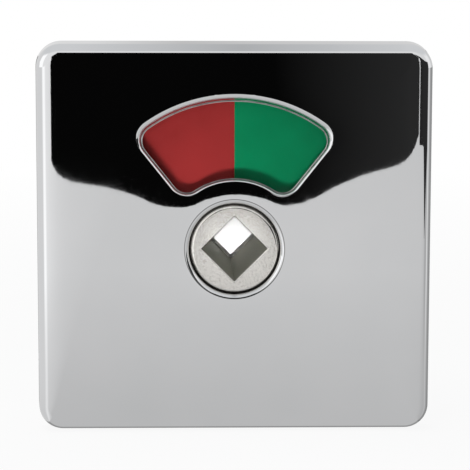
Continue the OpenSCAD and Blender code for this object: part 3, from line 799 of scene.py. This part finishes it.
speckle = add("ShaderNodeTexNoise", {"Vector": drawn, "Scale": 4500, "Detail": 2, "Roughness": 0.7})["Fac"]
pitted = mapped(add, speckle, 0.36, 0.5, 0.4, 0.0)
blasted = blend(add, pitted, plated, pit_tone)
# Painted shade: the socket gets a darker colour, and the flange behind the cover a near-black one.
inner = blend(add, in_socket, blasted, socket_shade_tone)
flange_shaded = blend(add, on_flange, inner, flange_shade_tone)
rubbed = figure(add, "MAXIMUM", on_shoulder, on_rim)
bright = blend(add, rubbed, polish, rubbed_gloss, "FLOAT")
grain = blend(add, rubbed, face_grain, rubbed_grain, "FLOAT")
tree.links.new(grain, shader["Normal"].links[0].from_node.inputs["Strength"])
rough = blend(add, thinly, bright, dull_gloss, "FLOAT")
tree.links.new(flange_shaded, shader["Base Color"])
tree.links.new(rough, shader["Roughness"])


def soften(piece, name, width, steps, share_of):
    """Rounds chosen edges of a piece ahead of its other edges, each by its own share of a width."""
    shape = bmesh.new()
    shape.from_mesh(piece.data)
    shares = shape.edges.layers.float.new("bevel_weight_edge")
    for edge in shape.edges:
        edge[shares] = share_of(edge)
    shape.to_mesh(piece.data)
    shape.free()
    rounding = piece.modifiers.new(name, "BEVEL")
    rounding.limit_method = "WEIGHT"
    rounding.width = width * mm
    rounding.segments = steps
    piece.modifiers.move(len(piece.modifiers) - 1, 0)


release_hub = dressed("release_hub", hub_nickel, bevel=0.08)
shoulder_cut = hub_shoulder * (2 - math.sqrt(2))
shoulder_steps = 5
shoulder_fit = 0.97
rim_share = 0.7
flange_gap = 0.2
hub_flange_y = lip_back + flange_gap
near = 0.05
face_rim = 7.0
for vert in release_hub.data.vertices:
    radius = math.hypot(vert.co.x, vert.co.z) / mm
    depth = vert.co.y / mm - hub_face_y
    if depth < hub_flange_y - hub_face_y + near and face_rim < radius < hub_radius:
        new_radius = hub_radius if depth > near else hub_radius - shoulder_cut
        vert.co.x *= new_radius / radius
        vert.co.z *= new_radius / radius
        if near < depth < hub_flange_y - hub_face_y - near:
            vert.co.y = (hub_face_y + shoulder_cut) * mm


def hub_share(edge):
    """Full for the two rings of the shoulder, less for the rim of the socket, none elsewhere."""
    ends = [vert.co / mm for vert in edge.verts]
    depths = [end.y - hub_face_y for end in ends]
    if max(depths) - min(depths) > near or max(depths) > hub_flange_y - hub_face_y - near:
        return 0.0
    if min(math.hypot(end.x, end.z) for end in ends) > face_rim:
        return 1.0
    on_rim = max(abs(abs(end.x) + abs(end.z) - socket_half) for end in ends) < near
    return rim_share if on_rim else 0.0


soften(release_hub, "shoulder", shoulder_cut / math.sqrt(2) * shoulder_fit, shoulder_steps, hub_share)

# Indicator disc and films. An aluminium sector keyed to the hub, with a red and a green film stuck on
# side by side, so that a turn of the hub brings one or the other under the window.
plain_sheet = grained_finish(
    "plain_sheet", (0.82, 0.82, 0.82), (0.74, 0.74, 0.75), (0.3, 0.45), 1500, (1, 1, 12)
)
dressed("indicator_disc", plain_sheet, bevel=0.06)
film_tones = {
    "red_film": ((0.39, 0.034, 0.034), (0.30, 0.026, 0.026)),
    "green_film": ((0.003, 0.26, 0.105), (0.003, 0.20, 0.080)),
}
film_sheen = 0.1
for film, (pale, deep) in film_tones.items():
    finish = grained_finish(film, pale, deep, (0.25, 0.4), 2600, metallic=0.0)
    finish.node_tree.nodes["Principled BSDF"].inputs["Specular IOR Level"].default_value = film_sheen
    dressed(film, finish, bevel=0)

# Back plate and inner bush. A blanked plate of zinc plated steel, which lies on the inner face of the door
# under the case. The hub's second nylon bush is pressed into it.
dressed("back_plate", zinc, bevel=0.1)
dressed("inner_bush", nylon, bevel=0.1)

# Drive pinion. A brass gear, hobbed from bar, which slides on the hub's square end. Its teeth run in the
# rack of the bolt.
brass = grained_finish(
    "brass", (0.78, 0.60, 0.28), (0.66, 0.48, 0.20), (0.18, 0.34), 1600, (1, 10, 1), grain=0.15
)
dressed("drive_pinion", brass, bevel=0.06)

# Bolt. A zinc bar, nickel plated and satin finished, with a rack milled in its lower edge. It slides under
# the guide rail, and the pinion throws it out of the case.
satin_nickel = grained_finish(
    "satin_nickel", (0.72, 0.69, 0.65), (0.64, 0.61, 0.57), (0.18, 0.26), 5000, grain=0.25, height=0.01
)
dressed("bolt", satin_nickel, bevel=0.3, steps=3)

# Guide rail and rivets. A nylon rail on the back plate, which keeps the rack down on the pinion, and the
# two steel rivets that hold it, with coned heads.
dressed("guide_rail", nylon, bevel=0.2)
rivet_head, rivet_x, rivet_z, rivet_front, rivet_end = pair_sizes(*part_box("rail_rivets"))
rivet_radius = 1.1
rivet_head_depth = 1.0
rivet_unit = turned([
    (0, rivet_front), (rivet_radius, rivet_front), (rivet_radius, rivet_end - rivet_head_depth),
    (rivet_head, rivet_end - rivet_head_depth), (rivet_radius, rivet_end), (0, rivet_end),
])
row_of("rail_rivets", rivet_unit, (-rivet_x, 0, rivet_z), zinc, bevel=0.15)

# Friction spring and rivet. A bowed strip of blued spring steel, riveted inside the case, which rubs on
# the bolt and keeps it where it is put.
blued_steel = grained_finish(
    "blued_steel", (0.30, 0.33, 0.42), (0.20, 0.22, 0.30), (0.2, 0.35), 1200, (1, 8, 8)
)
dressed("friction_spring", blued_steel, bevel=0.05)
dressed("spring_rivet", zinc, bevel=0.08)

# Inner case and nose bush. A zinc die casting with rounded edges, polished and chromed, which covers the
# works on the inside of the door, with a nylon liner clipped in where the bolt comes out.
dressed("inner_case", chrome, bevel=0.15)
dressed("nose_bush", nylon, bevel=0.12)

# Case screws. Two countersunk M4 screws with cross recesses, chromed, which pull the case, the back plate
# and the door against the sleeves.
screw_chrome = grained_finish(
    "screw_chrome", (0.80, 0.80, 0.81), (0.72, 0.72, 0.74), (0.08, 0.18), 2000
)
screw_head, screw_x, screw_z, screw_tip, screw_end = pair_sizes(*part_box("case_screws"))
screw_radius = screw_head / 2
screw_head_depth = 0.55 * screw_head
screw_pitch = 0.7
screw_turns = 14
screw_thread_depth = 0.3
screw_thread_end = screw_tip + screw_turns * screw_pitch
cross_width = 0.25 * screw_head
cross_length = 1.1 * screw_head
cross_depth = 0.35 * screw_head
screw_thread = threaded(screw_radius, screw_tip, screw_thread_end, screw_pitch, screw_thread_depth)
screw_blank = turned([
    (0, screw_tip), *screw_thread, (screw_radius, screw_thread_end),
    (screw_radius, screw_end - screw_head_depth), (screw_head, screw_end), (0, screw_end),
])
for width, height in ((cross_length, cross_width), (cross_width, cross_length)):
    slot_shape = bmesh.new()
    bmesh.ops.create_cube(slot_shape, size=1)
    slot_size = Matrix.Diagonal((width * mm, 2 * cross_depth * mm, height * mm, 1))
    place = Matrix.Translation((0, screw_end * mm, 0)) @ slot_size
    bmesh.ops.transform(slot_shape, matrix=place, verts=slot_shape.verts)
    screw_blank = cut_from(screw_blank, as_mesh(slot_shape, "cross_slot"))
row_of("case_screws", screw_blank, (-screw_x, 0, screw_z), screw_chrome, bevel=0.08)

# Thumb turn. A chromed knob in a nylon bush, held by a spring clip in its neck. Its square steel shank
# reaches into the hub's socket and is fixed by a grub screw in the knob's base.
dressed("turn_bush", nylon, bevel=0.12)
knob = dressed("turn_knob", chrome, bevel=0.25)
wing_start = 39.5
wing_edge = 0.9
wing_steps = 5
wing_sharp = quarter_turn / 3


def wing_share(edge):
    """Full for the sharp edges of the knob's wing, none elsewhere."""
    on_wing = min(vert.co.y for vert in edge.verts) > wing_start * mm
    return float(on_wing and edge.calc_face_angle() > wing_sharp)


soften(knob, "wing_edges", wing_edge, wing_steps, wing_share)
dressed("turn_clip", black_steel, bevel=0.05)
drawn_steel = grained_finish(
    "drawn_steel", (0.92, 0.92, 0.92), (0.86, 0.86, 0.87), (0.38, 0.5), 900, (10, 1, 10)
)
shank = dressed("turn_shank", drawn_steel, bevel=0.05)
shank_chamfer = 0.65
shape = bmesh.new()
shape.from_mesh(shank.data)
shank_end = min(shape.faces, key=lambda face: face.calc_center_median().y)
end_y = shank_end.calc_center_median().y
bmesh.ops.inset_region(shape, faces=[shank_end], thickness=shank_chamfer * mm, use_even_offset=True)
for vert in shape.verts:
    if vert.co.y < end_y + near * mm and vert not in shank_end.verts:
        vert.co.y += shank_chamfer * mm
shape.to_mesh(shank.data)
shape.free()
dressed("turn_grub_screw", black_steel, bevel=0.06)

# Camera. It stands a little above the plate and to its left, and looks down on it as in the photograph. Its
# picture is shifted so that the plate's middle falls on the same pixel.
photo_size = 470
focal_pixels = 1945
plate_pixel = (234.6, 239.3)
camera_distance = 341.4
camera_rise = math.radians(7.38)
camera_swing = math.radians(-1.5)
camera_roll = math.radians(0.13)
plate_centre = Vector((0, -cover_depth, cover_rise)) * mm
away = Vector((
    math.sin(camera_swing) * math.cos(camera_rise),
    -math.cos(camera_swing) * math.cos(camera_rise),
    math.sin(camera_rise),
))
camera_data = bpy.data.cameras.new("camera")
camera_data.sensor_width = 36
camera_data.lens = camera_data.sensor_width * focal_pixels / photo_size
camera_data.clip_start = 0.01
camera_data.shift_x = (photo_size / 2 - plate_pixel[0]) / photo_size
camera_data.shift_y = (plate_pixel[1] - photo_size / 2) / photo_size
camera = placed("camera", camera_data)
camera.location = plate_centre + away * camera_distance * mm
camera.rotation_mode = "QUATERNION"
roll = Matrix.Rotation(camera_roll, 3, "Z").to_quaternion()
camera.rotation_quaternion = (-away).to_track_quat("-Z", "Y") @ roll
scene.camera = camera

# Table. A pale table under the part. It is white to the camera, with the part's soft shadow near its foot. In
# reflections it glows with painted light, from bright at the left to grey at the right, as a table beside a
# window does, by the bearing from the plate's nearer edge, and a painted shadow makes it a little darker near
# the part.
brightest = 1.2
half_turn_degrees = 180


def tone_ramp(add, share, tones):
    """A ramp of grey tones over bearings in degrees, as shares of the brightest tone."""
    ramp = add("ShaderNodeValToRGB", {"Fac": share})["Color"]
    stops = ramp.node.color_ramp.elements
    while len(stops) < len(tones):
        stops.new(0.5)
    for stop, (angle, tone) in zip(stops, tones.items()):
        stop.position = (angle + half_turn_degrees) / (2 * half_turn_degrees)
        stop.color = [tone / brightest] * 3 + [1]
    return ramp


def bearing_share(add, where):
    """The bearing of a place or direction, as a share of a full turn, with the front in the middle."""
    front = figure(add, "MULTIPLY", where["Y"], -1.0)
    bearing = figure(add, "ARCTAN2", where["X"], front)
    return mapped(add, bearing, -math.pi, math.pi)


table_z = cad_box[0].z
table_reach = 30
shadow_from = 0.1
shadow_to = 0.5
shadow_white = 0.92
table_mesh = bpy.data.meshes.new("table")
corners = [(-1, -1), (1, -1), (1, 1), (-1, 1)]
table_mesh.from_pydata([(x * table_reach, y * table_reach, table_z) for x, y in corners], [], [(0, 1, 2, 3)])
table = placed("table", table_mesh)
pale_table, tree, shader, add = finish_nodes("pale_table")
shader["Base Color"].default_value = (0.86, 0.87, 0.88, 1)
shader["Roughness"].default_value = 0.9
shader["Specular IOR Level"].default_value = 0.0
where = add("ShaderNodeTexCoord")["Object"]
far = add("ShaderNodeVectorMath", {0: where}, operation="LENGTH")["Value"]
whiteness = mapped(add, far, shadow_from, shadow_to, low=shadow_white)
rays = add("ShaderNodeLightPath")
share = figure(add, "MULTIPLY", whiteness, rays["Is Camera Ray"])
white = add("ShaderNodeEmission", {"Strength": 1.0})["Emission"]
body = tree.nodes["Principled BSDF"].outputs["BSDF"]
lit = add("ShaderNodeMixShader", {0: share, 1: body, 2: white})["Shader"]
edge_x = (cover_half[0] - cover_edge / 2) * mm
edge_y = (cover_depth - cover_edge / 2) * mm
shade_from = 0.04
foot_from = 0.09
foot_to = 0.21
foot_shade = 0.93
table_tones = {
    -180: 0.12, -172: 0.20, -163: 0.75, -52: 0.75, -42: 1.1, -28: 1.2, -10: 0.91, -5: 0.80, -3.5: 0.75,
    0: 0.69, 7: 0.67, 15: 0.66, 42: 0.62, 57: 0.45, 70: 0.45, 79: 0.85, 84: 0.85, 91: 0.58, 98: 0.45,
    115: 0.32, 163: 0.32, 172: 0.16, 180: 0.12,
}
# Painted shadow of the part on the table: the tones seen in reflections close to its foot.
foot_shadow_tones = {
    **table_tones, -180: 0.36, -42: 0.85, -28: 0.98, -10: 0.76, -5: 0.715, -3.5: 0.70, 0: 0.625, 7: 0.615,
    15: 0.60, 42: 0.55, 57: 0.53, 70: 0.53, 79: 0.62, 84: 0.62, 91: 0.50, 180: 0.36,
}
on_table = add("ShaderNodeSeparateXYZ", {"Vector": where})
level_with = add("ShaderNodeClamp", {"Value": on_table["X"], "Min": -edge_x, "Max": edge_x})["Result"]
beside = figure(add, "SUBTRACT", on_table["X"], level_with)
behind = figure(add, "ADD", on_table["Y"], edge_y)
round_share = bearing_share(add, {"X": beside, "Y": behind})
distant = tone_ramp(add, round_share, table_tones)
close_by = tone_ramp(add, round_share, foot_shadow_tones)
apart = mapped(add, far, foot_from, foot_to)
toned = blend(add, apart, close_by, distant)
# Painted shadow: the table's glow is a little dimmer close to the part.
strength = mapped(add, far, shade_from, foot_from, foot_shade * brightest, brightest)
mirrored = add("ShaderNodeEmission", {"Color": toned, "Strength": strength})["Emission"]
shown = add("ShaderNodeMixShader", {0: rays["Is Glossy Ray"], 1: lit, 2: mirrored})["Shader"]
tree.links.new(shown, tree.nodes["Material Output"].inputs["Surface"])
table_mesh.materials.append(pale_table)


# Dark cards. Black card that shows only in reflections. One hangs in front of the plate with a curved lower
# edge: the black upper half of the chrome is this card, and the pale lower half is the table under it. The
# other stands round the right-hand side, comes down to a point and makes the dark line along that edge.
def dark_card(name, low_edge, top, pale_from, pale_to):
    """A card down from a level top to a lower edge of places, paler towards its right-hand end."""
    count = len(low_edge)
    mesh = bpy.data.meshes.new(name)
    mesh.from_pydata(
        [tuple(place) for place in low_edge] + [(x, y, top) for x, y, z in low_edge],
        [],
        [(i, i + 1, count + i + 1, count + i) for i in range(count - 1)],
    )
    card = placed(name, mesh)
    finish, tree, shader, add = finish_nodes(name)
    where = add("ShaderNodeSeparateXYZ", {"Vector": add("ShaderNodeTexCoord")["Object"]})
    paler = mapped(add, where["X"], pale_from, pale_to, card_black, card_grey)
    dark = add("ShaderNodeEmission", {"Color": paler, "Strength": 1.0})["Emission"]
    tree.links.new(dark, tree.nodes["Material Output"].inputs["Surface"])
    mesh.materials.append(finish)
    card.visible_camera = False
    card.visible_diffuse = False
    card.visible_shadow = False


card_black = 0.002
card_grey = 0.025
card_distance = 0.3
card_points = 96
card_left = -0.068
card_right = 0.0865
card_top = 0.14
card_low = -0.0229
card_bow = 0.0084
card_lean = 0.0004
card_span = 0.0554
card_middle = 0.0077
card_swell = 0.0012
swell_place = 0.041
swell_reach = 0.0107
card_dip = 0.0011
dip_place = 0.0236
dip_reach = 0.0052
pale_from = 0.02
pale_to = 0.07
card_x = np.linspace(card_left, card_right, card_points)
off_middle = np.abs(card_x - card_middle)
share = card_x / card_span
card_z = card_low + card_bow * share ** 2 + card_lean * share
card_z += card_swell * np.exp(-((off_middle - swell_place) / swell_reach) ** 2)
card_z -= card_dip * np.exp(-((off_middle - dip_place) / dip_reach) ** 2)
card_y = np.full(len(card_x), -card_distance)
dark_card("front_card", np.stack([card_x, card_y, card_z], 1), card_top, pale_from, pale_to)
side_points = 60
side_start = 16.8
side_end = 70
side_low = -0.0045
side_top = 0.1
side_pale_from = 0.05
side_pale_to = 0.1
side_tip = 0.03
tip_place = 50
tip_reach = 20
tip_curve = 1.2
side_turn = np.linspace(side_start, side_end, side_points)
side_x = card_distance * np.sin(np.radians(side_turn))
side_y = -card_distance * np.cos(np.radians(side_turn))
near_tip = np.maximum(1 - np.abs(side_turn - tip_place) / tip_reach, 0)
side_z = side_low - side_tip * near_tip ** tip_curve
side_edge = np.stack([side_x, side_y, side_z], 1)
dark_card("side_card", side_edge, side_top, side_pale_from, side_pale_to)


# Studio light. A soft lamp over the table, a narrow one at the camera for the socket, and a low one at the
# left. The world is white to the camera. In reflections it is a room with toned walls and a grey ceiling,
# paler to both sides.
def area_light(name, place, target, size, power, spread=180, in_gloss=True):
    """A rectangular lamp that isn't seen by the camera, with its beam narrowed to an angle."""
    lamp = bpy.data.lights.new(name, "AREA")
    lamp.shape = "RECTANGLE"
    lamp.size = size[0]
    lamp.size_y = size[1]
    lamp.energy = power
    lamp.spread = math.radians(spread)
    light = placed(name, lamp)
    light.location = place
    light.rotation_mode = "QUATERNION"
    light.rotation_quaternion = (Vector(target) - Vector(place)).to_track_quat("-Z", "Y")
    light.visible_camera = False
    light.visible_glossy = in_gloss
    light.visible_transmission = False


area_light(
    "overhead_lamp", place=(-0.12, -0.02, 0.7), target=(-0.05, -0.1, 0), size=(0.6, 0.5), power=3.2,
    in_gloss=False,
)
area_light(
    "socket_lamp", place=camera.location, target=(0, 0, 0), size=(0.006, 0.006), power=0.00013, spread=2.8
)
area_light(
    "low_lamp", place=(-0.018, -0.068, -0.027), target=(-0.003, -0.003, 0.018), size=(0.03, 0.01),
    power=0.0061, spread=60, in_gloss=False,
)

world = bpy.data.worlds.new("room")
scene.world = world
world.use_nodes = True
tree = world.node_tree
tree.nodes.clear()
add = node_adder(tree)
where = add("ShaderNodeSeparateXYZ", {"Vector": add("ShaderNodeTexCoord")["Generated"]})
wall_tones = {
    -180: 0.56, -177: 0.76, -165: 0.78, -84: 0.75, -78: 1.2, -44: 1.2, -38: 0.90, 0: 0.88, 40: 0.80, 58: 0.80,
    66: 0.95, 100: 0.95, 118: 0.70, 173: 0.69, 180: 0.56,
}
ceiling_from = 0.5
ceiling_full = 0.65
ceiling_middle = 0.03
ceiling_reach = 0.09
walls = tone_ramp(add, bearing_share(add, where), wall_tones)
upwards = mapped(add, where["Z"], ceiling_from, ceiling_full)
to_side = figure(add, "ABSOLUTE", figure(add, "SUBTRACT", where["X"], ceiling_middle))
aside = mapped(add, to_side, 0.0, ceiling_reach)
ambient_tone = (0.15, 0.15, 0.155, 1)
middle_tone = [tone / brightest for tone in (0.51, 0.52, 0.53)] + [1]
side_tone = [tone / brightest for tone in (0.71, 0.72, 0.73)] + [1]
ceiling = blend(add, aside, middle_tone, side_tone)
room = blend(add, upwards, walls, ceiling)
shaded = add("ShaderNodeBackground", {"Color": room, "Strength": brightest})["Background"]
ambient = add("ShaderNodeBackground", {"Color": ambient_tone, "Strength": 1.0})["Background"]
white = add("ShaderNodeBackground", {"Color": (1, 1, 1, 1), "Strength": 1.0})["Background"]
rays = add("ShaderNodeLightPath")
unseen = add("ShaderNodeMixShader", {0: rays["Is Glossy Ray"], 1: ambient, 2: shaded})["Shader"]
seen = add("ShaderNodeMixShader", {0: rays["Is Camera Ray"], 1: unseen, 2: white})["Shader"]
add("ShaderNodeOutputWorld", {"Surface": seen})
scene.view_settings.view_transform = "Standard"
